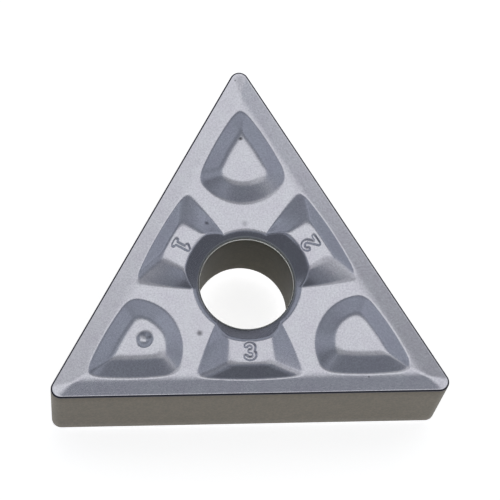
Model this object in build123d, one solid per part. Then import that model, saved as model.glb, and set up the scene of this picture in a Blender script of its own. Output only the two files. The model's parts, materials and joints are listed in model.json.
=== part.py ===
from build123d import *
from math import cos, radians, sin, sqrt
import os

# Triangular double-sided indexable cutting insert, pressed and sintered in one piece.
#
# Frame: origin on the axis of the clamping bore at half height, +Z along the bore, +Y towards
# the first corner. Both faces carry the same chip former. The lower one is the upper one turned
# over about the Y axis, so the corners line up and either face can be the working one.
# Lengths are millimetres, angles are degrees.

# Driving dimensions: the body
inscribed_circle = 9.525  # diameter of the circle that touches the three cutting edges
thickness = 4.76  # from the cutting edges of one face to the seat pads of the other
nose_radius = 0.4  # plan radius of each cutting corner
bore_diameter = 3.81  # clamping bore
hone_radius = 0.04  # rounding of the cutting edges

# Driving dimensions: rake land and floor
land_width = 0.9  # level width of the sloping land behind each cutting edge
land_corner_radius = 0.18  # plan radius where two lands meet, at the foot of the land
floor_depth = 0.15  # flat floor at the foot of the lands, below the cutting edges

# Driving dimensions: the countersunk mouths of the bore
mouth_width = 0.72  # radial width where a countersink meets the seat pads
mouth_depth = 0.36  # depth of its small end below the cutting edges
mouth_rounding = 0.2  # rounding where it runs into the bore

# Driving dimensions: chip-breaking boss at each corner, a teardrop with a flat top
corner_boss_height = 0.13  # flat top above the cutting edges
corner_boss_tip = 1.65  # from the sharp corner to the tip of the foot
corner_boss_shoulder = 5.01  # from the sharp corner to the widest part of the foot
corner_boss_setback = 0.77  # from the edge to the ends of the foot's long sides
corner_boss_bulge = 0.195  # how far the long sides bow towards the edge
corner_boss_length = 4.66  # from the tip of the foot to its rounded inner end
corner_flat_tip = 3.19  # from the sharp corner to the tip of the flat top
corner_flat_shoulder = 4.94  # from the sharp corner to the widest part of the flat top
corner_flat_setback = 1.65  # from the edge to the ends of the flat top's long sides
corner_flat_bulge = 0.055  # how far those sides bow towards the edge
corner_flat_length = 2.18  # from the tip of the flat top to its rounded inner end

# Driving dimensions: boss at the middle of each side, with the seat pad on its top
seat_height = 0.14  # seat pads above the cutting edges
seat_half_width = 0.86  # seat pad, along the edge
seat_setback = 1.22  # from the edge to the near side of the pad
side_boss_half_width = 2.5  # foot, at the end that faces the cutting edge
side_boss_setback = 0.69  # from the edge to the outer corners of the foot
side_boss_bulge = 0.25  # how far the foot bows towards the edge
side_boss_neck = 1.22  # half width of the foot where it meets the bore
boss_root = 0.05  # depth of the feet of all the bosses under the floor

# Driving dimensions: index dimple that tells one corner from the others
index_dimple_radius = 0.32
index_dimple_depth = 0.08
index_dimple_station = 4.66  # from the sharp corner

# Worked out from the driving dimensions
edge_distance = inscribed_circle / 2  # from the bore axis to each cutting edge
corner_distance = inscribed_circle  # from the bore axis to each sharp corner
bore_radius = bore_diameter / 2
edge_plane = (thickness - seat_height) / 2  # height of the upper cutting edges
root_depth = floor_depth + boss_root  # feet of the bosses below the cutting edges
corner_half_angle = 30.0
clear_height = 1.0  # how far a cutting shape stands out past what it cuts


def at_height(outline, height):
    """A plan outline lifted to a height above the cutting edges."""
    return Pos(0, 0, edge_plane + height) * outline


def triangle_outline(setback, corner_radius):
    """Plan triangle whose sides lie inside the cutting edges by a setback."""
    triangle = RegularPolygon(edge_distance - setback, 3, major_radius=False, rotation=90)
    return fillet(triangle.vertices(), corner_radius)


def ruled_between(low_outline, low_height, high_outline, high_height):
    """Solid with straight walls from an outline at one height to an outline at another."""
    return loft([at_height(low_outline, low_height), at_height(high_outline, high_height)], ruled=True)


def land_sink():
    """Everything above the three sloping lands and the floor that they run down to."""
    growth = clear_height * land_width / floor_depth
    corner_change = (nose_radius - land_corner_radius) * growth / land_width
    foot = triangle_outline(land_width, land_corner_radius)
    top = triangle_outline(-growth, nose_radius + corner_change)
    return ruled_between(foot, -floor_depth, top, clear_height)


def half_width(from_corner, setback):
    """Half width, at a station on a corner's bisector, between lines parallel to its two edges."""
    half_angle = radians(corner_half_angle)
    return (from_corner * sin(half_angle) - setback) / cos(half_angle)


def teardrop(tip, shoulder, setback, length, bulge):
    """Teardrop on the +Y corner: a pointed tip, two long sides and a rounded inner end.

    The stations are measured from the sharp corner, and a bulge bows the long sides outwards.
    """
    outward = Vector(cos(radians(corner_half_angle)), sin(radians(corner_half_angle)))
    tip_point = Vector(0, corner_distance - tip)
    right = Vector(half_width(shoulder, setback), corner_distance - shoulder)
    left = Vector(-right.X, right.Y)
    inner_end = Vector(0, tip_point.Y - length)
    right_middle = (tip_point + right) / 2 + outward * bulge
    left_middle = Vector(-right_middle.X, right_middle.Y)
    return make_face([
        ThreePointArc(tip_point, right_middle, right),
        ThreePointArc(right, inner_end, left),
        ThreePointArc(left, left_middle, tip_point),
    ])


def corner_boss():
    """Raised teardrop behind a cutting corner, with sloping walls and a flat top."""
    foot = teardrop(
        corner_boss_tip, corner_boss_shoulder, corner_boss_setback, corner_boss_length, corner_boss_bulge
    )
    flat = teardrop(
        corner_flat_tip, corner_flat_shoulder, corner_flat_setback, corner_flat_length, corner_flat_bulge
    )
    return ruled_between(foot, -root_depth, flat, corner_boss_height)


def side_boss():
    """Raised boss between the middle of the -Y side and the bore, with the seat pad on top.

    Its inner end runs into the bore, which cuts it off.
    """
    foot_y = side_boss_setback - edge_distance
    neck_y = -sqrt(bore_radius**2 - side_boss_neck**2)
    foot = make_face([
        ThreePointArc(
            (-side_boss_half_width, foot_y), (0, foot_y - side_boss_bulge), (side_boss_half_width, foot_y)
        ),
        Line((side_boss_half_width, foot_y), (side_boss_neck, neck_y)),
        Line((side_boss_neck, neck_y), (-side_boss_neck, neck_y)),
        Line((-side_boss_neck, neck_y), (-side_boss_half_width, foot_y)),
    ])
    seat_y = seat_setback - edge_distance
    seat = make_face(Polyline(
        (-seat_half_width, seat_y),
        (seat_half_width, seat_y),
        (seat_half_width, neck_y),
        (-seat_half_width, neck_y),
        close=True,
    ))
    return ruled_between(foot, -root_depth, seat, seat_height)


def index_ball():
    """Ball that leaves a dimple in the flat top of the +Y corner boss."""
    ball_radius = (index_dimple_radius**2 + index_dimple_depth**2) / (2 * index_dimple_depth)
    ball = at_height(Sphere(ball_radius), corner_boss_height - index_dimple_depth + ball_radius)
    return Pos(0, corner_distance - index_dimple_station, 0) * ball


def chip_former():
    """All that stands up from the floor of one face: three corner bosses and three side bosses."""
    thirds = [Rot(0, 0, angle) for angle in (0, 120, 240)]
    corners = [turn * corner_boss() for turn in thirds]
    sides = [turn * side_boss() for turn in thirds]
    return corners[0] + corners[1:] + sides - Rot(0, 0, 120) * index_ball()


def bore_with_mouths():
    """Turned shape of the clamping bore, with a countersink at each end."""
    wall_end = edge_plane - mouth_depth
    cone_slope = mouth_width / (mouth_depth + seat_height)
    open_end = edge_plane + seat_height + clear_height
    open_radius = bore_radius + cone_slope * (open_end - wall_end)
    half_section = make_face(Polyline(
        (0, -open_end),
        (open_radius, -open_end),
        (bore_radius, -wall_end),
        (bore_radius, wall_end),
        (open_radius, open_end),
        (0, open_end),
        close=True,
    ))
    throats = half_section.vertices().filter_by(lambda corner: abs(corner.X - bore_radius) < 1e-6)
    half_section = fillet(throats, mouth_rounding)
    return revolve(Plane.XZ * half_section, Axis.Z)


def insert():
    """The whole insert."""
    turned_over = Rot(0, 180, 0)
    blank = extrude(triangle_outline(0, nose_radius), edge_plane, both=True)
    sink = land_sink()
    blank = blank - sink - turned_over * sink
    cutting_edges = blank.edges().filter_by(lambda edge: abs(abs(edge.center().Z) - edge_plane) < 1e-6)
    blank = fillet(cutting_edges, hone_radius)
    former = chip_former()
    return blank + former + turned_over * former - bore_with_mouths()


os.makedirs("parts", exist_ok=True)
body = insert()
body.label = "insert"
export_step(body, "parts/insert.step")
print(f"insert: {len(body.solids())} solid, {body.volume:.2f} mm3, {len(body.faces())} faces")
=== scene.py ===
"""Dresses the triangular cutting insert: one closed skin, worked out as a function of two parameters.

The first parameter runs round the outline and the second round the section: out over the upper
rake face, down the flank, in under the lower rake face and back up the bore. Lengths are in
millimetres until a mesh is made, and angles are in degrees.
"""
import json
import logging
import math
from dataclasses import dataclass, field
from enum import Enum

import bpy
import numpy as np
from mathutils import Matrix, Vector

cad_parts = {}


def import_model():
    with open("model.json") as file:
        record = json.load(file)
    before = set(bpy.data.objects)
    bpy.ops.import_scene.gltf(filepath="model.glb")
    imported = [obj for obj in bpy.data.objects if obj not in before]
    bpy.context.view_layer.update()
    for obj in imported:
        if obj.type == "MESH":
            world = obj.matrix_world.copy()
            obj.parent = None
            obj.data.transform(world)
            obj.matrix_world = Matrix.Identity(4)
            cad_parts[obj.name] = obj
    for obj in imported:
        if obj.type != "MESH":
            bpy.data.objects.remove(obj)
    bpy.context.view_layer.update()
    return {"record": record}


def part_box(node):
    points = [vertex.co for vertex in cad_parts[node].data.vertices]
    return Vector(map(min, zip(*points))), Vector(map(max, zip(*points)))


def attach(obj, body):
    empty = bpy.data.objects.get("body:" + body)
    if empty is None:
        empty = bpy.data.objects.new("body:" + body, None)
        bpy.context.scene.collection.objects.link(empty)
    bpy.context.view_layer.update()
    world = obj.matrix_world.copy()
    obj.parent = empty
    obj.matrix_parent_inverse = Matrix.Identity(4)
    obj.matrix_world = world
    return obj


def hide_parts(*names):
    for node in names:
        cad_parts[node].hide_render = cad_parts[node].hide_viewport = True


MM = 0.001
SEAT_HEIGHT = 0.14  # seat pads above the cutting edges
THIRDS = (0.0, 120.0, 240.0)  # turns that carry one corner or side to the others
FAR_BELOW = -9.0  # height given where a boss has no part in the face
SIDE_TILT = math.radians(30.0)  # from the +X axis to the outward normal of the right side
CORNER_TURN = math.radians(120.0)  # how far the outline turns at a corner
ARC_POINTS = 17  # points along a numeral's arc
CLOUD_NOISE = (0.32, 0.72)  # noise values between which a cloud comes in
GRAIN_NOISE = (0.35, 0.65)  # noise values from the darkest grain to the lightest
log = logging.getLogger("insert")


# ----------------------------------------------------------------------------- plane geometry


def smooth_min(a: np.ndarray, b: np.ndarray, blend: float) -> np.ndarray:
    """The lower of two surfaces, with the crease between them rounded.

    The polynomial blend: mix the two by their difference over the blend height, then take off
    the blend height times mix times one minus mix.

    Args:
        a: First surface's heights.
        b: Second surface's heights.
        blend: Height difference over which the two are mixed.

    Returns:
        The blended heights.
    """
    mix = np.clip(0.5 + 0.5 * (b - a) / blend, 0.0, 1.0)
    return b * (1.0 - mix) + a * mix - blend * mix * (1.0 - mix)


def smooth_max(a: np.ndarray, b: np.ndarray, blend: float) -> np.ndarray:
    """The higher of two surfaces, with the crease between them rounded.

    Args:
        a: First surface's heights.
        b: Second surface's heights.
        blend: Height difference over which the two are mixed.

    Returns:
        The blended heights.
    """
    return -smooth_min(-a, -b, blend)


def smooth_step(low: float, high: float, value: np.ndarray) -> np.ndarray:
    """0 below low, 1 above high, and three t squared less two t cubed between them.

    Args:
        low: Where the step starts.
        high: Where it ends.
        value: Values to take the step of.

    Returns:
        Shares from 0 to 1.
    """
    t = np.clip((value - low) / (high - low), 0.0, 1.0)
    return t * t * (3.0 - 2.0 * t)


def turned(x: np.ndarray, y: np.ndarray, degrees: float) -> tuple[np.ndarray, np.ndarray]:
    """Plan coordinates turned anticlockwise about the bore axis.

    Args:
        x: Plan x.
        y: Plan y.
        degrees: The turn.

    Returns:
        The turned x and y.
    """
    c, s = math.cos(math.radians(degrees)), math.sin(math.radians(degrees))
    return c * x - s * y, s * x + c * y


def distance_to_path(x: np.ndarray, y: np.ndarray, path: np.ndarray) -> np.ndarray:
    """Distance from each point to a chain of straight runs.

    For every point and run: drop a perpendicular, hold its foot between the run's ends, and keep
    the shortest distance over the runs.

    Args:
        x: Plan x of the points.
        y: Plan y of the points.
        path: Corners of the chain, one row each.

    Returns:
        One distance for each point.
    """
    start, run = path[:-1], np.diff(path, axis=0)
    dx = x[..., None] - start[:, 0]
    dy = y[..., None] - start[:, 1]
    along = (dx * run[:, 0] + dy * run[:, 1]) / (run**2).sum(axis=1)
    along = np.clip(along, 0.0, 1.0)
    return np.hypot(dx - along * run[:, 0], dy - along * run[:, 1]).min(axis=-1)


@dataclass(frozen=True)
class PlanForm:
    """Plan of the insert: a triangle with rounded corners round a bore.

    Attributes:
        edge_distance: From the bore axis to each cutting edge.
        nose_radius: Plan radius of each corner.
        bore_radius: Clamping bore.
    """

    edge_distance: float
    nose_radius: float
    bore_radius: float

    @property
    def corner_distance(self) -> float:
        """From the bore axis to each sharp corner.

        Returns:
            Twice the edge distance, as in every equal-sided triangle.
        """
        return 2.0 * self.edge_distance

    def outline(self, count: int) -> tuple[np.ndarray, np.ndarray]:
        """Points evenly spaced along the outline, and the outward normals there.

        The length along a third of the outline starts at the middle of a side: a straight half
        side, the arc of a corner, and half of the next side. Each third is the first one turned
        by 120 degrees.

        Args:
            count: Number of points, a multiple of three.

        Returns:
            Two arrays of one plan row for each point.
        """
        half_side = math.sqrt(3.0) * (self.edge_distance - self.nose_radius)
        arc = self.nose_radius * CORNER_TURN
        third = count // 3
        length = (np.arange(third) + 0.5) / third * (2.0 * half_side + arc)
        angle = np.clip(length - half_side, 0.0, arc) / self.nose_radius
        normal = np.stack([np.sin(angle), -np.cos(angle)], axis=1)
        centre = np.array([half_side, self.nose_radius - self.edge_distance])
        before = np.minimum(length - half_side, 0.0)[:, None] * np.array([1.0, 0.0])
        next_side = np.array([math.cos(CORNER_TURN), math.sin(CORNER_TURN)])
        after = np.maximum(length - half_side - arc, 0.0)[:, None] * next_side
        points = centre + before + after + self.nose_radius * normal
        spun = [np.stack(turned(*points.T, turn), axis=1) for turn in THIRDS]
        spun_normals = [np.stack(turned(*normal.T, turn), axis=1) for turn in THIRDS]
        return np.concatenate(spun), np.concatenate(spun_normals)

    def edge_depths(self, x: np.ndarray, y: np.ndarray) -> tuple[np.ndarray, np.ndarray, np.ndarray]:
        """Distance inside each of the three sides.

        Args:
            x: Plan x.
            y: Plan y.

        Returns:
            Distances from the near side, the right one and the left one, positive inside.
        """
        c, s = math.cos(SIDE_TILT), math.sin(SIDE_TILT)
        e = self.edge_distance
        return e + y, e - (c * x + s * y), e - (s * y - c * x)

    def inset(self, x: np.ndarray, y: np.ndarray, closing: float) -> np.ndarray:
        """Distance inside the rounded outline.

        Along the sides it is the least of the three side distances. Round a corner, the line at
        inset d is an arc whose radius is the nose radius less closing times d, centred on the
        bisector at twice the sum of d and that radius from the sharp corner. Its squared equation
        is a quadratic in d, and the larger root is the inset.

        Args:
            x: Plan x.
            y: Plan y.
            closing: How fast the corner radius shrinks with the inset.

        Returns:
            Distances, positive inside.
        """
        inset = np.minimum.reduce(self.edge_depths(x, y))
        nose = self.nose_radius
        step = 2.0 * (1.0 - closing)
        leading = step**2 - closing**2
        for turn in THIRDS:
            across, up = turned(x, y, turn)
            along = self.corner_distance - 2.0 * nose - up
            half_middle = nose * closing - along * step
            last = along**2 + across**2 - nose**2
            root = (np.sqrt(np.maximum(half_middle**2 - leading * last, 0.0)) - half_middle) / leading
            past = step * root - along
            in_fan = np.abs(across) <= past * math.tan(CORNER_TURN / 2.0)
            inset = np.where(in_fan & (root * closing < nose), root, inset)
        return inset


# ----------------------------------------------------------------------------- relief of a face


@dataclass(frozen=True)
class RakeLand:
    """The land that slopes down from the cutting edges, and the flat floor at its foot.

    Attributes:
        slope: Fall over run.
        floor_depth: Floor below the cutting edges.
        corner_closing: How fast the plan radius of the corners shrinks with the inset.
        foot_blend: Rounding at the foot of the land.
    """

    slope: float = 0.167
    floor_depth: float = 0.15
    corner_closing: float = 0.6
    foot_blend: float = 0.045

    def height(self, inset: np.ndarray) -> np.ndarray:
        """Land: minus the slope times the inset. Floor: a plane. The higher of the two.

        Args:
            inset: Distance inside the outline.

        Returns:
            Heights above the cutting edges.
        """
        return smooth_max(-self.slope * inset, np.full_like(inset, -self.floor_depth), self.foot_blend)


@dataclass(frozen=True)
class CornerBoss:
    """Teardrop boss behind the +Y corner: two bowed side walls, a conical inner wall, a flat top.

    Attributes:
        top: Flat top above the cutting edges.
        side_foot: Distance from the edge to the foot of the side wall, at its middle.
        side_level: Height of that foot.
        side_slope: Rise over run of the side walls.
        side_radius: Plan radius of the bowed side wall's foot.
        side_middle: Distance along the edge from the bore's level to the middle of the wall.
        inner_centre: Plan y of the conical inner wall's axis.
        inner_radius: Radius of its foot.
        inner_slope: Its rise over run.
        hip_blend: Rounding of the hips between walls.
        tip_round: Rounding of the ridge between the two side walls.
        rim_blend: Rounding of the rim of the flat top.
        reach_y: Plan y beyond which the boss has a part in the face.
    """

    top: float = 0.13
    side_foot: float = 0.7675
    side_level: float = -0.142
    side_slope: float = 0.342
    side_radius: float = 9.75
    side_middle: float = 4.724
    inner_centre: float = 5.41
    inner_radius: float = 2.054
    inner_slope: float = 0.35
    hip_blend: float = 0.11
    tip_round: float = 0.04
    rim_blend: float = 0.055
    reach_y: float = 1.5

    def height(self, x: np.ndarray, y: np.ndarray, plan: PlanForm, floor: float) -> np.ndarray:
        """Least of the two side cones, the inner cone and the top.

        Args:
            x: Plan x.
            y: Plan y.
            plan: The insert's plan.
            floor: Height of the floor, which the inner wall's foot stands on.

        Returns:
            Heights, far below the face away from the boss.
        """
        c, s = math.cos(SIDE_TILT), math.sin(SIDE_TILT)
        out = plan.edge_distance - self.side_foot - self.side_radius
        centre_x, centre_y = c * out - s * self.side_middle, s * out + c * self.side_middle
        across = np.hypot(x, self.tip_round) - centre_x
        side = self.side_level + self.side_slope * (self.side_radius - np.hypot(across, y - centre_y))
        inner = floor + self.inner_slope * (self.inner_radius - np.hypot(x, y - self.inner_centre))
        walls = smooth_min(side, inner, self.hip_blend)
        boss = smooth_min(walls, np.full_like(walls, self.top), self.rim_blend)
        return np.where(y > self.reach_y, boss, FAR_BELOW)


@dataclass(frozen=True)
class SideBoss:
    """Boss between the middle of the -Y side and the bore, with the seat pad on top.

    Attributes:
        top: Seat pad above the cutting edges.
        outer_foot: Plan distance from the bore axis to the outer wall's foot, at its middle.
        outer_level: Height of that foot.
        outer_slope: Rise over run of the outer wall.
        outer_radius: Plan radius of the outer wall's bowed foot.
        pad_half_width: Half the seat pad along the edge.
        foot_half_widths: Half width of the foot at its outer end, half way and just in the bore.
        foot_ends: Plan distances from the bore axis of the outer and the inner of those stations.
        foot_past: Station past which the foot's width stays as it is, where 0 is the outer one
            and 1 the inner one.
        foot_drop: How far the flank walls run below the floor.
        least_run: Least plan width of a flank wall.
        hip_blend: Rounding of the hips.
        rim_blend: Rounding of the seat pad's rim.
        reach_y: Plan y below which the boss has a part in the face.
        reach_slope: Fall over run of the two lines from the bore axis that bound that part.
    """

    top: float
    outer_foot: float = 4.105
    outer_level: float = -0.11
    outer_slope: float = 0.44
    outer_radius: float = 12.7
    pad_half_width: float = 0.86
    foot_half_widths: tuple[float, float, float] = (2.37, 1.892, 1.32)
    foot_ends: tuple[float, float] = (3.97, 1.68)
    foot_past: float = 1.2
    foot_drop: float = 0.03
    least_run: float = 0.05
    hip_blend: float = 0.1
    rim_blend: float = 0.045
    reach_y: float = -1.0
    reach_slope: float = 0.3

    def height(self, x: np.ndarray, y: np.ndarray, floor: float) -> np.ndarray:
        """Least of the outer cone, the two flank walls and the pad.

        A flank wall falls in a straight line from the pad's side to the foot, whose half width is
        the parabola through its three stations.

        Args:
            x: Plan x.
            y: Plan y.
            floor: Height of the floor.

        Returns:
            Heights, far below the face away from the boss.
        """
        outer = self.outer_level + self.outer_slope * (
            self.outer_radius - np.hypot(x, y + self.outer_foot - self.outer_radius)
        )
        outer_end, inner_end = self.foot_ends
        t = np.clip((y + outer_end) / (outer_end - inner_end), 0.0, self.foot_past)
        first, middle, last = self.foot_half_widths
        foot = first * (1 - t) * (1 - 2 * t) + 4 * middle * t * (1 - t) + last * t * (2 * t - 1)
        run = np.maximum(foot - self.pad_half_width, self.least_run)
        fall = (np.abs(x) - self.pad_half_width) / run
        flank = self.top - (self.top - floor + self.foot_drop) * fall
        walls = smooth_min(outer, flank, self.hip_blend)
        boss = smooth_min(walls, np.full_like(walls, self.top), self.rim_blend)
        within_reach = (y < self.reach_y) & (y < -self.reach_slope * np.abs(x))
        return np.where(within_reach, boss, FAR_BELOW)


@dataclass(frozen=True)
class BoreMouth:
    """Countersink at the end of the bore, with a rounded lip.

    Attributes:
        depth: Small end of the cone below the cutting edges.
        slope: Rise over run of the cone.
        lip_radius: Rounding from the cone into the bore.
        rim_blend: Rounding where the cone meets the face.
    """

    depth: float = 0.36
    slope: float = 0.78
    lip_radius: float = 0.25
    rim_blend: float = 0.08

    def lip_end(self, plan: PlanForm) -> tuple[float, float]:
        """Where the lip's arc ends on the cone, and where it ends on the bore.

        Args:
            plan: The insert's plan.

        Returns:
            Radius on the cone, and height on the bore's wall.
        """
        turn = math.atan2(1.0, self.slope)
        tangent = self.lip_radius * math.tan(turn / 2.0)
        return plan.bore_radius + tangent * math.sin(turn), -self.depth - tangent

    def height(self, radius: np.ndarray, plan: PlanForm) -> np.ndarray:
        """The cone, and inside its lower end an arc that turns into the bore's wall.

        Args:
            radius: Distances from the bore axis.
            plan: The insert's plan.

        Returns:
            Heights above the cutting edges.
        """
        cone = -self.depth + self.slope * (radius - plan.bore_radius)
        out, low = self.lip_end(plan)
        inward = np.clip(self.lip_radius - (radius - plan.bore_radius), 0.0, self.lip_radius)
        lip = low + np.sqrt(np.maximum(self.lip_radius**2 - inward**2, 0.0))
        return np.where(radius < out, lip, cone)


@dataclass(frozen=True)
class IndexDimple:
    """Round dimple pressed into the top of one corner boss, to tell that corner from the others.

    Attributes:
        radius: Its radius in the boss's top.
        depth: Its depth below that top.
        plan_y: Plan y of its middle on the +Y boss, before the turn to its own corner.
        rim_blend: Rounding of its rim.
        turn: Turn that carries its own corner to the +Y one.
    """

    radius: float = 0.32
    depth: float = 0.09
    plan_y: float = 4.865
    rim_blend: float = 0.02
    turn: float = -120.0

    def height(self, x: np.ndarray, y: np.ndarray, top: float) -> np.ndarray:
        """Lower part of a ball: the top less the depth, plus radius squared over twice the ball's.

        Args:
            x: Plan x.
            y: Plan y.
            top: Height of the boss's top.

        Returns:
            Heights, far above the face away from the dimple.
        """
        ball_radius = (self.radius**2 + self.depth**2) / (2.0 * self.depth)
        return top - self.depth + (x**2 + (y - self.plan_y) ** 2) / (2.0 * ball_radius)


class Numeral(Enum):
    """Plain index numbers, each a chain of strokes in a box one high and two thirds wide."""

    ONE = 1
    TWO = 2
    THREE = 3
    FOUR = 4
    FIVE = 5
    SIX = 6

    def strokes(self) -> list[np.ndarray]:
        """The strokes of this numeral.

        Returns:
            Chains of points centred on the box.
        """
        return NUMERAL_STROKES[self]


def arc(
    centre_x: float, centre_y: float, radius_x: float, radius_y: float, start: float, end: float
) -> np.ndarray:
    """Points along an elliptical arc.

    Args:
        centre_x: Centre's x.
        centre_y: Centre's y.
        radius_x: Half the width of the ellipse.
        radius_y: Half its height.
        start: Angle of the first point, anticlockwise from +X.
        end: Angle of the last point.

    Returns:
        One row for each point.
    """
    angle = np.radians(np.linspace(start, end, ARC_POINTS))
    return np.stack([centre_x + radius_x * np.cos(angle), centre_y + radius_y * np.sin(angle)], axis=1)


def chain(*points: tuple[float, float]) -> np.ndarray:
    """Straight runs through the given points.

    Args:
        *points: Corners of the chain.

    Returns:
        One row for each corner.
    """
    return np.array(points, dtype=float)


NUMERAL_STROKES = {
    Numeral.ONE: [chain((-0.16, 0.3), (0.04, 0.5), (0.04, -0.5)), chain((-0.16, -0.5), (0.24, -0.5))],
    Numeral.TWO: [arc(0.0, 0.2, 0.27, 0.3, 165, -35), chain((0.221, 0.028), (-0.29, -0.5), (0.3, -0.5))],
    Numeral.THREE: [arc(-0.02, 0.25, 0.26, 0.25, 155, -90), arc(-0.02, -0.24, 0.3, 0.26, 90, -155)],
    Numeral.FOUR: [chain((0.12, -0.5), (0.12, 0.5), (-0.3, -0.2), (0.32, -0.2))],
    Numeral.FIVE: [chain((0.26, 0.5), (-0.22, 0.5), (-0.26, 0.06)), arc(-0.02, -0.18, 0.3, 0.32, 130, -150)],
    Numeral.SIX: [arc(0.0, -0.22, 0.28, 0.28, 0, 360), arc(0.28, -0.1, 0.56, 0.62, 110, 192)],
}


@dataclass(frozen=True)
class IndexNumber:
    """A shallow number pressed into a seat pad, read with the edge below it.

    Attributes:
        numeral: Which number.
        size: Height of the number.
        plan_y: Plan y of its centre on the -Y pad.
        stroke: Half width of a stroke.
        depth: Depth of a stroke below the pad.
        stroke_fade: Where the stroke's side ends, in half widths from its middle.
    """

    numeral: Numeral
    size: float = 0.62
    plan_y: float = -3.0
    stroke: float = 0.045
    depth: float = 0.035
    stroke_fade: float = 2.2

    def height(self, x: np.ndarray, y: np.ndarray) -> np.ndarray:
        """Minus the depth inside a stroke, fading out at stroke_fade half widths from its middle.

        Args:
            x: Plan x.
            y: Plan y.

        Returns:
            Heights to add to the pad.
        """
        relief = np.zeros_like(x)
        near = (np.abs(x) < self.size) & (np.abs(y - self.plan_y) < self.size)
        local_x, local_y = x[near] / self.size, (y[near] - self.plan_y) / self.size
        if local_x.size == 0:
            return relief
        paths = [distance_to_path(local_x, local_y, path) for path in self.numeral.strokes()]
        distance = np.minimum.reduce(paths) * self.size
        outside = smooth_step(self.stroke, self.stroke_fade * self.stroke, distance)
        relief[near] = -self.depth * (1.0 - outside)
        return relief


@dataclass(frozen=True)
class RakeFace:
    """Everything on one face: land, floor, three corner bosses, three side bosses, marks, mouth.

    Attributes:
        plan: The insert's plan.
        seat_height: Seat pads above the cutting edges.
        numerals: Index numbers of the sides, from the -Y side anticlockwise.
        land: The lands and the floor.
        corner_boss: The boss at each corner.
        mouth: The end of the bore.
        dimple: The dimple in one corner boss.
        foot_blend: Rounding at the feet of the bosses.
    """

    plan: PlanForm
    seat_height: float
    numerals: tuple[Numeral, Numeral, Numeral]
    land: RakeLand = field(default_factory=RakeLand)
    corner_boss: CornerBoss = field(default_factory=CornerBoss)
    mouth: BoreMouth = field(default_factory=BoreMouth)
    dimple: IndexDimple = field(default_factory=IndexDimple)
    foot_blend: float = 0.022

    def height(self, x: np.ndarray, y: np.ndarray) -> np.ndarray:
        """Height of the face above the plane of its cutting edges.

        The highest of the land, the floor and the bosses, with rounded feet. Then the lowest of
        that, the dimple and the mouth of the bore, with the index numbers taken off.

        Args:
            x: Plan x.
            y: Plan y.

        Returns:
            Heights.
        """
        inset = self.plan.inset(x, y, self.land.corner_closing)
        face = self.land.height(inset)
        floor = -self.land.floor_depth
        side_boss = SideBoss(top=self.seat_height)
        marks = np.zeros_like(x)
        for index, turn in enumerate(THIRDS):
            tx, ty = turned(x, y, -turn)
            face = smooth_max(face, self.corner_boss.height(tx, ty, self.plan, floor), self.foot_blend)
            face = smooth_max(face, side_boss.height(tx, ty, floor), self.foot_blend)
            marks += IndexNumber(self.numerals[index]).height(tx, ty)
        dimple_x, dimple_y = turned(x, y, self.dimple.turn)
        dimple = self.dimple.height(dimple_x, dimple_y, self.corner_boss.top)
        face = smooth_min(face, dimple, self.dimple.rim_blend)
        radius = np.hypot(x, y)
        return smooth_min(face + marks, self.mouth.height(radius, self.plan), self.mouth.rim_blend)


# ----------------------------------------------------------------------------- the closed skin


class Region(Enum):
    """Parts of the skin that are finished differently."""

    RAKE = 0
    HONE = 1
    FLANK = 2
    BORE = 3
    LIP = 4


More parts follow.
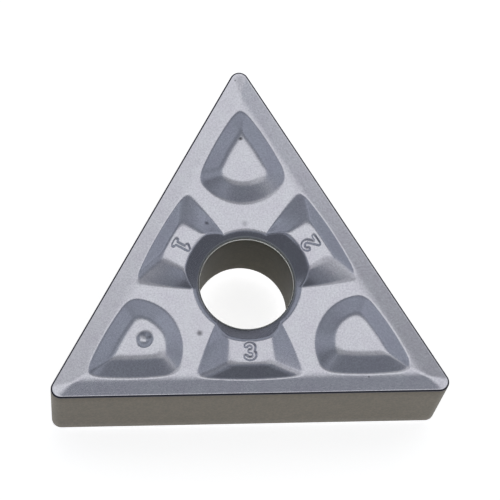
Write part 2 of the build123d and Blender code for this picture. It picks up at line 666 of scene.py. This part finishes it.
@dataclass
class InsertSkin:
    """The whole insert as one closed grid, round the outline by round the section.

    Attributes:
        plan: The insert's plan.
        half_height: Half the thickness over the seat pads.
        seat_height: Seat pads above the cutting edges.
        hone: Rounding of the cutting edges.
        columns: Grid lines round the outline.
        upper_rows: Grid lines across the upper face.
        lower_rows: Grid lines across the lower face.
        hone_rows: Grid lines round a cutting edge.
        lip_rows: Grid lines round a lip of the bore.
        wall_rows: Grid lines down the flank, and down the bore.
    """

    plan: PlanForm
    half_height: float
    seat_height: float
    hone: float = 0.06
    columns: int = 600
    upper_rows: int = 84
    lower_rows: int = 50
    hone_rows: int = 5
    lip_rows: int = 5
    wall_rows: int = 6

    @property
    def edge_plane(self) -> float:
        """Height of the upper cutting edges.

        Returns:
            The half height less the seat pads.
        """
        return self.half_height - self.seat_height

    def faces(self) -> tuple[RakeFace, RakeFace]:
        """The upper and the lower rake face, each with its own index numbers.

        Returns:
            The two faces.
        """
        upper = RakeFace(self.plan, self.seat_height, (Numeral.THREE, Numeral.TWO, Numeral.ONE))
        lower = RakeFace(self.plan, self.seat_height, (Numeral.SIX, Numeral.FIVE, Numeral.FOUR))
        return upper, lower

    def face_rows(self, face: RakeFace, rows: int) -> tuple[np.ndarray, np.ndarray, np.ndarray]:
        """Rows of one face, from the wall of the bore to the flank, as x, y and height.

        The lip's rows step through the arc's angle. The rows of the face run straight from the lip
        to the start of the hone. The hone's rows step through the angle of its arc.

        Args:
            face: The rake face.
            rows: Rows between the lip and the hone.

        Returns:
            Three arrays, one row for each grid line and one column for each outline point.
        """
        outline, normal = self.plan.outline(self.columns)
        bore_angle = 2.0 * math.pi * (np.arange(self.columns) + 0.5) / self.columns - math.pi / 2.0
        spoke = np.stack([np.cos(bore_angle), np.sin(bore_angle)], axis=1)
        lip_out, _ = face.mouth.lip_end(self.plan)

        lip_turn = np.linspace(0.0, 1.0, self.lip_rows, endpoint=False)
        reach = math.acos(1.0 - (lip_out - self.plan.bore_radius) / face.mouth.lip_radius)
        lip_radii = self.plan.bore_radius + face.mouth.lip_radius * (1.0 - np.cos(reach * lip_turn))
        lip = lip_radii[:, None, None] * spoke
        land_angle = math.atan(face.land.slope)
        hone_turn = np.linspace(-land_angle, math.pi / 2.0, self.hone_rows)
        hone_inset = self.hone * (1.0 - np.sin(hone_turn))
        inner = lip_out * spoke
        outer = outline - normal * hone_inset[0]
        share = np.linspace(0.0, 1.0, rows, endpoint=False)[:, None, None]
        middle = inner + (outer - inner) * share
        edge = outline - normal * hone_inset[:, None, None]

        plan_rows = np.concatenate([lip, middle])
        x, y = plan_rows[..., 0], plan_rows[..., 1]
        height = face.height(x, y)
        hone_centre = -face.land.slope * hone_inset[0] - self.hone * math.cos(land_angle)
        hone_height = (hone_centre + self.hone * np.cos(hone_turn))[:, None] * np.ones(self.columns)
        all_x = np.concatenate([x, edge[..., 0]])
        all_y = np.concatenate([y, edge[..., 1]])
        return all_x, all_y, np.concatenate([height, hone_height])

    def grid(self) -> tuple[np.ndarray, np.ndarray]:
        """Points of the whole skin, and the region that each row of faces starts.

        The lower face is the upper one turned over about the Y axis, so its rows come from the same
        function with x and z changed in sign and its columns read the other way.

        Returns:
            An array of rows by columns by three, and one region number for each row.
        """
        upper, lower = self.faces()
        x, y, h = self.face_rows(upper, self.upper_rows)
        top = np.stack([x, y, self.edge_plane + h], axis=-1)
        x, y, h = self.face_rows(lower, self.lower_rows)
        under = np.stack([-x, y, -self.edge_plane - h], axis=-1)[::-1, ::-1]
        between = np.linspace(0.0, 1.0, self.wall_rows + 2)[1:-1, None, None]
        flank = top[-1] + (under[0] - top[-1]) * between
        bore = under[-1] + (top[0] - under[-1]) * between
        rows = np.concatenate([top, flank, under, bore])
        runs = (
            (Region.LIP, self.lip_rows),
            (Region.RAKE, self.upper_rows),
            (Region.HONE, self.hone_rows - 1),
            (Region.FLANK, self.wall_rows + 1),
            (Region.HONE, self.hone_rows - 1),
            (Region.RAKE, self.lower_rows),
            (Region.LIP, self.lip_rows),
            (Region.BORE, self.wall_rows + 1),
        )
        return rows, np.concatenate([np.full(length, region.value) for region, length in runs])

    def build(self) -> bpy.types.Object:
        """Makes the closed mesh, with smooth shading and each face's material index set to its region.

        Returns:
            The object, at the origin.
        """
        rows, regions = self.grid()
        count, columns = rows.shape[:2]
        row = np.arange(count)[:, None]
        column = np.arange(columns)[None, :]
        next_row, next_column = (row + 1) % count, (column + 1) % columns
        quads = np.stack(
            [
                row * columns + column,
                next_row * columns + column,
                next_row * columns + next_column,
                row * columns + next_column,
            ],
            axis=-1,
        ).reshape(-1, 4)
        mesh = bpy.data.meshes.new("insert_skin")
        mesh.from_pydata((rows.reshape(-1, 3) * MM).tolist(), [], quads.tolist())
        mesh.polygons.foreach_set("material_index", np.repeat(regions, columns).astype(np.int32))
        mesh.polygons.foreach_set("use_smooth", np.ones(len(quads), dtype=bool))
        mesh.update()
        skin = bpy.data.objects.new("insert_skin", mesh)
        bpy.context.scene.collection.objects.link(skin)
        log.info("insert_skin: %d faces", len(quads))
        return skin


# ----------------------------------------------------------------------------- finishes


def linear(hex_colour: str) -> tuple[float, float, float, float]:
    """Turns an sRGB hex colour into the linear values that a shader takes.

    Args:
        hex_colour: Six hex digits.

    Returns:
        Linear red, green and blue, and an alpha of one.
    """
    channels = [int(hex_colour[i : i + 2], 16) / 255.0 for i in (0, 2, 4)]
    straight = [c / 12.92 if c <= 0.04045 else ((c + 0.055) / 1.055) ** 2.4 for c in channels]
    return (*straight, 1.0)


def add_node(
    tree: bpy.types.NodeTree, kind: str, inputs: dict | None = None, **settings: object
) -> bpy.types.Node:
    """Adds a node with its settings, values and links.

    Args:
        tree: The node tree.
        kind: Blender's name for the node's type.
        inputs: Input name or number to a value, or to an output socket to link from.
        **settings: Attributes of the node.

    Returns:
        The node.
    """
    node = tree.nodes.new(kind)
    for name, value in settings.items():
        setattr(node, name, value)
    for name, value in (inputs or {}).items():
        if isinstance(value, bpy.types.NodeSocket):
            tree.links.new(value, node.inputs[name])
        else:
            node.inputs[name].default_value = value
    return node


def new_material(name: str) -> tuple[bpy.types.Material, bpy.types.NodeTree]:
    """An empty node material.

    Args:
        name: The material's name.

    Returns:
        The material and its tree.
    """
    material = bpy.data.materials.new(name)
    material.use_nodes = True
    material.node_tree.nodes.clear()
    return material, material.node_tree


@dataclass(frozen=True)
class Speckle:
    """Cloudy tone and fine grain, which every surface has but the painted edge lines.

    Attributes:
        colour: Main tone.
        cloud_colour: Tone of the patches.
        cloud_mm: Size of the patches.
        cloud_share: How much of the second tone shows at most.
        grain_mm: Size of the grain. The real grain is near 0.001 mm, too fine to show, so it is
            drawn as coarse as it needs to show.
        grain_share: How much the grain darkens.
        grain_depth_mm: Height of the grain.
        stretch: How much longer the pattern is along the bore than across it.
    """

    colour: str
    cloud_colour: str
    cloud_mm: float
    cloud_share: float
    grain_mm: float
    grain_share: float
    grain_depth_mm: float
    stretch: float = 1.0

    def build(self, tree: bpy.types.NodeTree) -> tuple[bpy.types.NodeSocket, bpy.types.NodeSocket]:
        """Adds the pattern's nodes.

        Args:
            tree: The material's tree.

        Returns:
            The colour and the bumped normal.
        """
        place = add_node(tree, "ShaderNodeTexCoord").outputs["Object"]
        drawn = add_node(tree, "ShaderNodeMapping", {
            "Vector": place, "Scale": (1.0, 1.0, 1.0 / self.stretch),
        }).outputs["Vector"]
        cloud = add_node(tree, "ShaderNodeTexNoise", {
            "Vector": drawn, "Scale": 1.0 / (self.cloud_mm * MM), "Detail": 5.0, "Roughness": 0.65,
        })
        cloud_share = add_node(tree, "ShaderNodeMapRange", {
            "Value": cloud.outputs["Fac"], "From Min": CLOUD_NOISE[0], "From Max": CLOUD_NOISE[1],
            "To Max": self.cloud_share,
        })
        tone = add_node(tree, "ShaderNodeMix", {
            "Factor": cloud_share.outputs["Result"],
            "A": linear(self.colour), "B": linear(self.cloud_colour),
        }, data_type="RGBA")
        grain = add_node(tree, "ShaderNodeTexNoise", {
            "Vector": drawn, "Scale": 1.0 / (self.grain_mm * MM), "Detail": 2.0, "Roughness": 0.6,
        })
        shade = add_node(tree, "ShaderNodeMapRange", {
            "Value": grain.outputs["Fac"], "From Min": GRAIN_NOISE[0], "From Max": GRAIN_NOISE[1],
            "To Min": 1.0 - self.grain_share, "To Max": 1.0,
        })
        grained = add_node(tree, "ShaderNodeVectorMath", {
            0: tone.outputs["Result"], "Scale": shade.outputs["Result"],
        }, operation="SCALE")
        bump = add_node(tree, "ShaderNodeBump", {
            "Height": grain.outputs["Fac"], "Distance": self.grain_depth_mm * MM,
        })
        return grained.outputs["Vector"], bump.outputs["Normal"]


@dataclass(frozen=True)
class Pit:
    """A small dark pit in the upper rake face.

    Attributes:
        place_mm: Its middle, on the face.
        radius_mm: Radius of the dark spot, where it is two thirds as dark as in the middle.
        strength: How dark it is in the middle.
    """

    place_mm: tuple[float, float, float]
    radius_mm: float
    strength: float

    def mask(self, tree: bpy.types.NodeTree, place: bpy.types.NodeSocket) -> bpy.types.NodeSocket:
        """The strength out to half the pit's radius, falling to nothing at twice its radius.

        Args:
            tree: The material's tree.
            place: Object coordinates.

        Returns:
            The pit's mask.
        """
        centre = tuple(value * MM for value in self.place_mm)
        away = add_node(tree, "ShaderNodeVectorMath", {0: place, 1: centre}, operation="DISTANCE")
        return add_node(tree, "ShaderNodeMapRange", {
            "Value": away.outputs["Value"], "From Min": 0.5 * self.radius_mm * MM,
            "From Max": 2.0 * self.radius_mm * MM, "To Min": self.strength, "To Max": 0.0,
        }).outputs["Result"]


@dataclass(frozen=True)
class BlastedNitride:
    """Nitride coating laid from vapour over pressed and sintered carbide, then blasted.

    Blasting takes the colour of the top layer off and leaves a satin lavender grey, bright where it
    faces the light and dark where it turns away, with fine grain, faint clouds, a few pits and
    the odd pore.

    Attributes:
        name: The material's name.
        speckle: Tone and grain.
        roughness: Spread of the sheen.
        pit_colour: Tone inside a pit.
        pits: The larger pits.
        pore_cell_mm: Size of the cells that the pores stand in.
        pore_grey: A cell holds a pore where the grey of its random colour is above this. About one
            in forty is, and few of those lie at the surface.
        pore_radii: Radii of a pore's dark middle and of its rim, in cells.
        pore_strength: How dark a pore is in the middle.
    """

    name: str
    speckle: Speckle
    roughness: float
    pit_colour: str
    pits: tuple[Pit, ...]
    pore_cell_mm: float = 0.8
    pore_grey: float = 0.88
    pore_radii: tuple[float, float] = (0.02, 0.07)
    pore_strength: float = 0.7

    def material(self) -> bpy.types.Material:
        """Builds the material.

        Returns:
            The material.
        """
        material, tree = new_material(self.name)
        tone, normal = self.speckle.build(tree)
        pitted = add_node(tree, "ShaderNodeMix", {
            "Factor": self.pit_mask(tree), "A": tone, "B": linear(self.pit_colour),
        }, data_type="RGBA")
        surface = add_node(tree, "ShaderNodeBsdfPrincipled", {
            "Base Color": pitted.outputs["Result"], "Metallic": 1.0,
            "Roughness": self.roughness, "Normal": normal,
        })
        add_node(tree, "ShaderNodeOutputMaterial", {"Surface": surface.outputs["BSDF"]})
        return material

    def pit_mask(self, tree: bpy.types.NodeTree) -> bpy.types.NodeSocket:
        """The larger pits, and the odd pore in the middle of a cell.

        Args:
            tree: The material's tree.

        Returns:
            How much of the pit colour shows, from 0 to 1.
        """
        place = add_node(tree, "ShaderNodeTexCoord").outputs["Object"]
        cells = add_node(tree, "ShaderNodeTexVoronoi", {
            "Vector": place, "Scale": 1.0 / (self.pore_cell_mm * MM),
        })
        near = add_node(tree, "ShaderNodeMapRange", {
            "Value": cells.outputs["Distance"], "From Min": self.pore_radii[0],
            "From Max": self.pore_radii[1], "To Min": self.pore_strength, "To Max": 0.0,
        })
        kept = add_node(tree, "ShaderNodeMath", {
            0: cells.outputs["Color"], 1: self.pore_grey,
        }, operation="GREATER_THAN")
        mask = add_node(tree, "ShaderNodeMath", {
            0: near.outputs["Result"], 1: kept.outputs["Value"],
        }, operation="MULTIPLY").outputs["Value"]
        for pit in self.pits:
            spot = pit.mask(tree, place)
            deeper = add_node(tree, "ShaderNodeMath", {0: mask, 1: spot}, operation="MAXIMUM")
            mask = deeper.outputs["Value"]
        return mask


@dataclass(frozen=True)
class BronzedNitride:
    """The same coating where the blast didn't reach: flanks and bore. In the bore its tone is set darker,
    which is painted shade.

    It keeps its olive brown, with a duller sheen, and grain drawn out a little along the bore.

    Attributes:
        name: The material's name.
        speckle: Tone and grain.
        roughness: Spread of the sheen.
        metallic: Share of the coating's metal-like sheen.
    """

    name: str
    speckle: Speckle
    roughness: float
    metallic: float

    def material(self) -> bpy.types.Material:
        """Builds the material.

        Returns:
            The material.
        """
        material, tree = new_material(self.name)
        tone, normal = self.speckle.build(tree)
        surface = add_node(tree, "ShaderNodeBsdfPrincipled", {
            "Base Color": tone, "Metallic": self.metallic,
            "Roughness": self.roughness, "Normal": normal,
        })
        add_node(tree, "ShaderNodeOutputMaterial", {"Surface": surface.outputs["BSDF"]})
        return material


@dataclass(frozen=True)
class PaintedEdgeLine:
    """Coating over an arris that was rounded by brushing, a thin line of one even tone.

    On the cutting edges a dark tone is painted shade, where the rounding turns away from the light,
    which draws a dark line round each face. At the ends of the bore a near-white tone is a painted
    highlight, which draws a pale ring.

    Attributes:
        name: The material's name.
        colour: Its tone.
        roughness: Spread of the sheen.
    """
    # colour: Its tone, which holds the painted shade of a hone and the painted highlight of a lip.

    name: str
    colour: str
    roughness: float

    def material(self) -> bpy.types.Material:
        """Builds the material.

        Returns:
            The material.
        """
        material, tree = new_material(self.name)
        surface = add_node(tree, "ShaderNodeBsdfPrincipled", {
            "Base Color": linear(self.colour), "Metallic": 1.0, "Roughness": self.roughness,
        })
        add_node(tree, "ShaderNodeOutputMaterial", {"Surface": surface.outputs["BSDF"]})
        return material


RAKE_FINISH = BlastedNitride(
    name="blasted_nitride_rake",
    speckle=Speckle(
        colour="d3d4da", cloud_colour="c9c5d0", cloud_mm=0.7, cloud_share=0.6,
        grain_mm=0.07, grain_share=0.14, grain_depth_mm=0.001,
    ),
    roughness=0.21, pit_colour="4a4a50",
    pits=(
        Pit((-0.05, 6.10, 2.436), 0.055, 0.95),
        Pit((-1.55, 2.50, 2.266), 0.06, 0.7),
        Pit((-1.98, -2.13, 2.16), 0.08, 0.75),
        Pit((0.0, 2.50, 2.16), 0.09, 0.3),
    ),
)
# Dark tone on the rounded cutting edges: painted shade where the rounding turns away from the light.
HONE_PAINTED_SHADE = PaintedEdgeLine(name="hone_painted_shade", colour="4c4c53", roughness=0.35)
# Near-white tone on the lip at each end of the bore: a painted highlight.
LIP_PAINTED_HIGHLIGHT = PaintedEdgeLine(name="lip_painted_highlight", colour="f0f2f0", roughness=0.45)
FLANK_FINISH = BronzedNitride(
    name="bronzed_nitride_flank",
    speckle=Speckle(
        colour="7f735d", cloud_colour="706650", cloud_mm=0.5, cloud_share=0.9,
        grain_mm=0.08, grain_share=0.3, grain_depth_mm=0.003, stretch=1.6,
    ),
    roughness=0.5, metallic=0.25,
)
# The coating's olive brown made darker than on the flank: painted shade inside the bore.
BORE_SHADED_FINISH = BronzedNitride(
    name="bronzed_nitride_bore_painted_shade",
    speckle=Speckle(
        colour="453f2e", cloud_colour="383322", cloud_mm=0.45, cloud_share=0.8,
        grain_mm=0.09, grain_share=0.25, grain_depth_mm=0.004, stretch=1.4,
    ),
    roughness=0.6, metallic=0.9,
)
FINISHES = {
    Region.RAKE: RAKE_FINISH,
    Region.HONE: HONE_PAINTED_SHADE,
    Region.FLANK: FLANK_FINISH,
    Region.BORE: BORE_SHADED_FINISH,
    Region.LIP: LIP_PAINTED_HIGHLIGHT,
}


# ----------------------------------------------------------------------------- studio


@dataclass(frozen=True)
class CameraStation:
    """Camera that looks steeply down on the insert from its near side.

    Attributes:
        place_mm: Camera's place.
        aim_mm: Point in the middle of the picture.
        roll: Turn of the picture about the line of sight.
        lens_mm: Focal length on a 36 mm sensor.
    """

    place_mm: tuple[float, float, float] = (-7.158, -29.635, 93.15)
    aim_mm: tuple[float, float, float] = (0.35, 2.09, 0.0)
    roll: float = 11.78
    lens_mm: float = 171.0

    def build(self) -> bpy.types.Object:
        """Adds the camera and makes it the scene's own.

        Returns:
            The camera.
        """
        data = bpy.data.cameras.new("camera")
        data.lens = self.lens_mm
        data.sensor_width = 36.0
        data.clip_start = 0.001
        camera = bpy.data.objects.new("camera", data)
        place, aim = Vector(self.place_mm) * MM, Vector(self.aim_mm) * MM
        look = (aim - place).to_track_quat("-Z", "Y").to_matrix().to_4x4()
        roll = Matrix.Rotation(math.radians(self.roll), 4, "Z")
        camera.matrix_world = Matrix.Translation(place) @ look @ roll
        bpy.context.scene.collection.objects.link(camera)
        bpy.context.scene.camera = camera
        log.info("camera: %.0f mm lens", self.lens_mm)
        return camera


class Facing(Enum):
    """Which way a lamp faces."""

    DOWN = "straight down"
    INSERT = "towards the insert"


class Level(Enum):
    """The four radiances that the lamps are set to, where 1 is white."""

    KEY = 0.9
    BRIGHT = 0.55
    FILL = 0.3
    DIM = 0.13


@dataclass(frozen=True)
class SoftBox:
    """Rectangular area lamp.

    Attributes:
        name: The lamp's name.
        place_mm: Its centre.
        size_mm: Its width and height.
        level: Brightness of its face.
        facing: Which way it faces.
        colour: Its tint.
    """

    name: str
    place_mm: tuple[float, float, float]
    size_mm: tuple[float, float]
    level: Level
    facing: Facing = Facing.DOWN
    colour: str = "e9f0ff"

    def build(self) -> bpy.types.Object:
        """Adds the lamp. Its power is pi times its radiance times its area.

        Returns:
            The lamp.
        """
        data = bpy.data.lights.new(self.name, "AREA")
        data.shape = "RECTANGLE"
        data.size, data.size_y = self.size_mm[0] * MM, self.size_mm[1] * MM
        data.energy = math.pi * self.level.value * data.size * data.size_y
        data.color = linear(self.colour)[:3]
        lamp = bpy.data.objects.new(self.name, data)
        place = Vector(self.place_mm) * MM
        turn = Matrix.Identity(4)
        if self.facing is Facing.INSERT:
            turn = (-place).to_track_quat("-Z", "Y").to_matrix().to_4x4()
        lamp.matrix_world = Matrix.Translation(place) @ turn
        bpy.context.scene.collection.objects.link(lamp)
        return lamp


@dataclass
class Studio:
    """Pale floor, soft lamps and a dim surround.

    Attributes:
        floor_level: Height of the floor.
        surround: Brightness of the surround overhead.
        horizon: Brightness of the surround at the horizon.
        horizon_height: Sine of the elevation by which it has changed to the brightness overhead.
        floor_size: Length of the floor's sides.
        floor_colour: Colour of the floor.
        floor_glow: Light of its own that the camera and reflections see in the floor.
        tint: Colour of the surround.
        lamps: The lamps.
    """

    floor_level: float
    surround: float = 0.15
    horizon: float = 0.2
    horizon_height: float = 0.3
    floor_size: float = 600.0
    floor_colour: str = "f6f4ee"
    floor_glow: float = 0.8
    tint: str = "e9f0ff"
    lamps: tuple[SoftBox, ...] = (
        SoftBox("key_softbox", (70.0, 150.0, 400.0), (310.0, 150.0), Level.KEY, colour="ffffff"),
        SoftBox("key_apron_right", (150.0, 0.0, 400.0), (150.0, 150.0), Level.BRIGHT, colour="ffffff"),
        SoftBox("key_apron_middle", (0.0, 0.0, 400.0), (150.0, 150.0), Level.FILL, colour="ffffff"),
        SoftBox("key_apron_left", (-150.0, 0.0, 400.0), (150.0, 150.0), Level.DIM),
        SoftBox("left_fill", (-225.0, 150.0, 400.0), (290.0, 150.0), Level.FILL),
        SoftBox("right_fill", (300.0, 75.0, 400.0), (150.0, 300.0), Level.FILL),
        SoftBox("overhead_back_fill", (0.0, 325.0, 400.0), (750.0, 200.0), Level.DIM),
        SoftBox("left_front_fill", (-190.0, -140.0, 400.0), (230.0, 130.0), Level.FILL),
        SoftBox("right_front_fill", (115.0, -140.0, 400.0), (380.0, 130.0), Level.DIM),
        SoftBox("back_fill", (0.0, 380.0, 220.0), (420.0, 210.0), Level.FILL, Facing.INSERT),
        SoftBox("right_back_fill", (300.0, 235.0, 220.0), (290.0, 230.0), Level.FILL, Facing.INSERT),
        SoftBox("left_back_fill", (-300.0, 235.0, 220.0), (290.0, 230.0), Level.FILL, Facing.INSERT),
    )

    def build(self) -> None:
        """Adds the floor, the lamps and the surround."""
        self.add_floor()
        for lamp in self.lamps:
            lamp.build()
            log.info("%s: radiance %.2f", lamp.name, lamp.level.value)
        self.add_surround()

    def add_floor(self) -> None:
        """A flat white sheet under the insert.

        The lamps light it, and the camera and reflections see a glow of its own added to that.
        """
        half = self.floor_size * MM / 2.0
        z = self.floor_level * MM
        mesh = bpy.data.meshes.new("floor")
        corners = [(-half, -half, z), (half, -half, z), (half, half, z), (-half, half, z)]
        mesh.from_pydata(corners, [], [(0, 1, 2, 3)])
        floor = bpy.data.objects.new("floor", mesh)
        bpy.context.scene.collection.objects.link(floor)
        material, tree = new_material("white_card_floor")
        path = add_node(tree, "ShaderNodeLightPath")
        card = add_node(tree, "ShaderNodeBsdfDiffuse", {"Color": linear(self.floor_colour)})
        glow = add_node(tree, "ShaderNodeEmission", {
            "Color": linear("ffffff"), "Strength": self.floor_glow,
        })
        both = add_node(tree, "ShaderNodeAddShader", {
            0: card.outputs["BSDF"], 1: glow.outputs["Emission"],
        })
        seen = add_node(tree, "ShaderNodeMath", {
            0: path.outputs["Is Camera Ray"], 1: path.outputs["Is Glossy Ray"],
        }, operation="MAXIMUM")
        shown = add_node(tree, "ShaderNodeMixShader", {
            "Fac": seen.outputs["Value"], 1: card.outputs["BSDF"], 2: both.outputs["Shader"],
        })
        add_node(tree, "ShaderNodeOutputMaterial", {"Surface": shown.outputs["Shader"]})
        mesh.materials.append(material)
        log.info("floor: %.0f mm square", self.floor_size)

    def add_surround(self) -> None:
        """A dim surround, a little brighter near the horizon, that the camera sees as white."""
        world = bpy.data.worlds.new("surround")
        world.use_nodes = True
        tree = world.node_tree
        tree.nodes.clear()
        direction = add_node(tree, "ShaderNodeTexCoord").outputs["Generated"]
        height = add_node(tree, "ShaderNodeSeparateXYZ", {"Vector": direction}).outputs["Z"]
        glow = add_node(tree, "ShaderNodeMapRange", {
            "Value": height, "From Min": 0.0, "From Max": self.horizon_height,
            "To Min": self.horizon, "To Max": self.surround,
        }, interpolation_type="SMOOTHSTEP")
        path = add_node(tree, "ShaderNodeLightPath")
        dim = add_node(tree, "ShaderNodeBackground", {
            "Color": linear(self.tint), "Strength": glow.outputs["Result"],
        })
        white = add_node(tree, "ShaderNodeBackground", {"Color": linear("ffffff"), "Strength": 1.0})
        air = add_node(tree, "ShaderNodeMixShader", {
            "Fac": path.outputs["Is Camera Ray"],
            1: dim.outputs["Background"],
            2: white.outputs["Background"],
        })
        add_node(tree, "ShaderNodeOutputWorld", {"Surface": air.outputs["Shader"]})
        bpy.context.scene.world = world
        log.info("surround: %.2f overhead, %.2f at the horizon", self.surround, self.horizon)


# ----------------------------------------------------------------------------- the scene


def bore_radius_of(record: dict) -> float:
    """The clamping bore's radius, from the record's mount.

    Args:
        record: The part's record.

    Returns:
        The radius in millimetres.
    """
    bores = [mount for mount in record["mounts"] if mount["kind"] == "bore"]
    return bores[0]["dims"]["r_mm"]


def main() -> None:
    """Loads the frame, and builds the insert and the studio."""
    logging.basicConfig(level=logging.INFO, format="%(name)s: %(message)s")
    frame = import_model()
    low, high = (np.array(corner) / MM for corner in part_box("insert"))
    edge_distance = -low[1]
    plan = PlanForm(
        edge_distance=edge_distance,
        nose_radius=2.0 * edge_distance - high[1],
        bore_radius=bore_radius_of(frame["record"]),
    )
    skin = InsertSkin(plan=plan, half_height=high[2], seat_height=SEAT_HEIGHT).build()
    for region in Region:
        skin.data.materials.append(FINISHES[region].material())
    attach(skin, "root")
    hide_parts("insert")
    CameraStation().build()
    Studio(floor_level=low[2]).build()
    bpy.context.scene.view_settings.view_transform = "Standard"


if __name__ == "__main__":
    main()
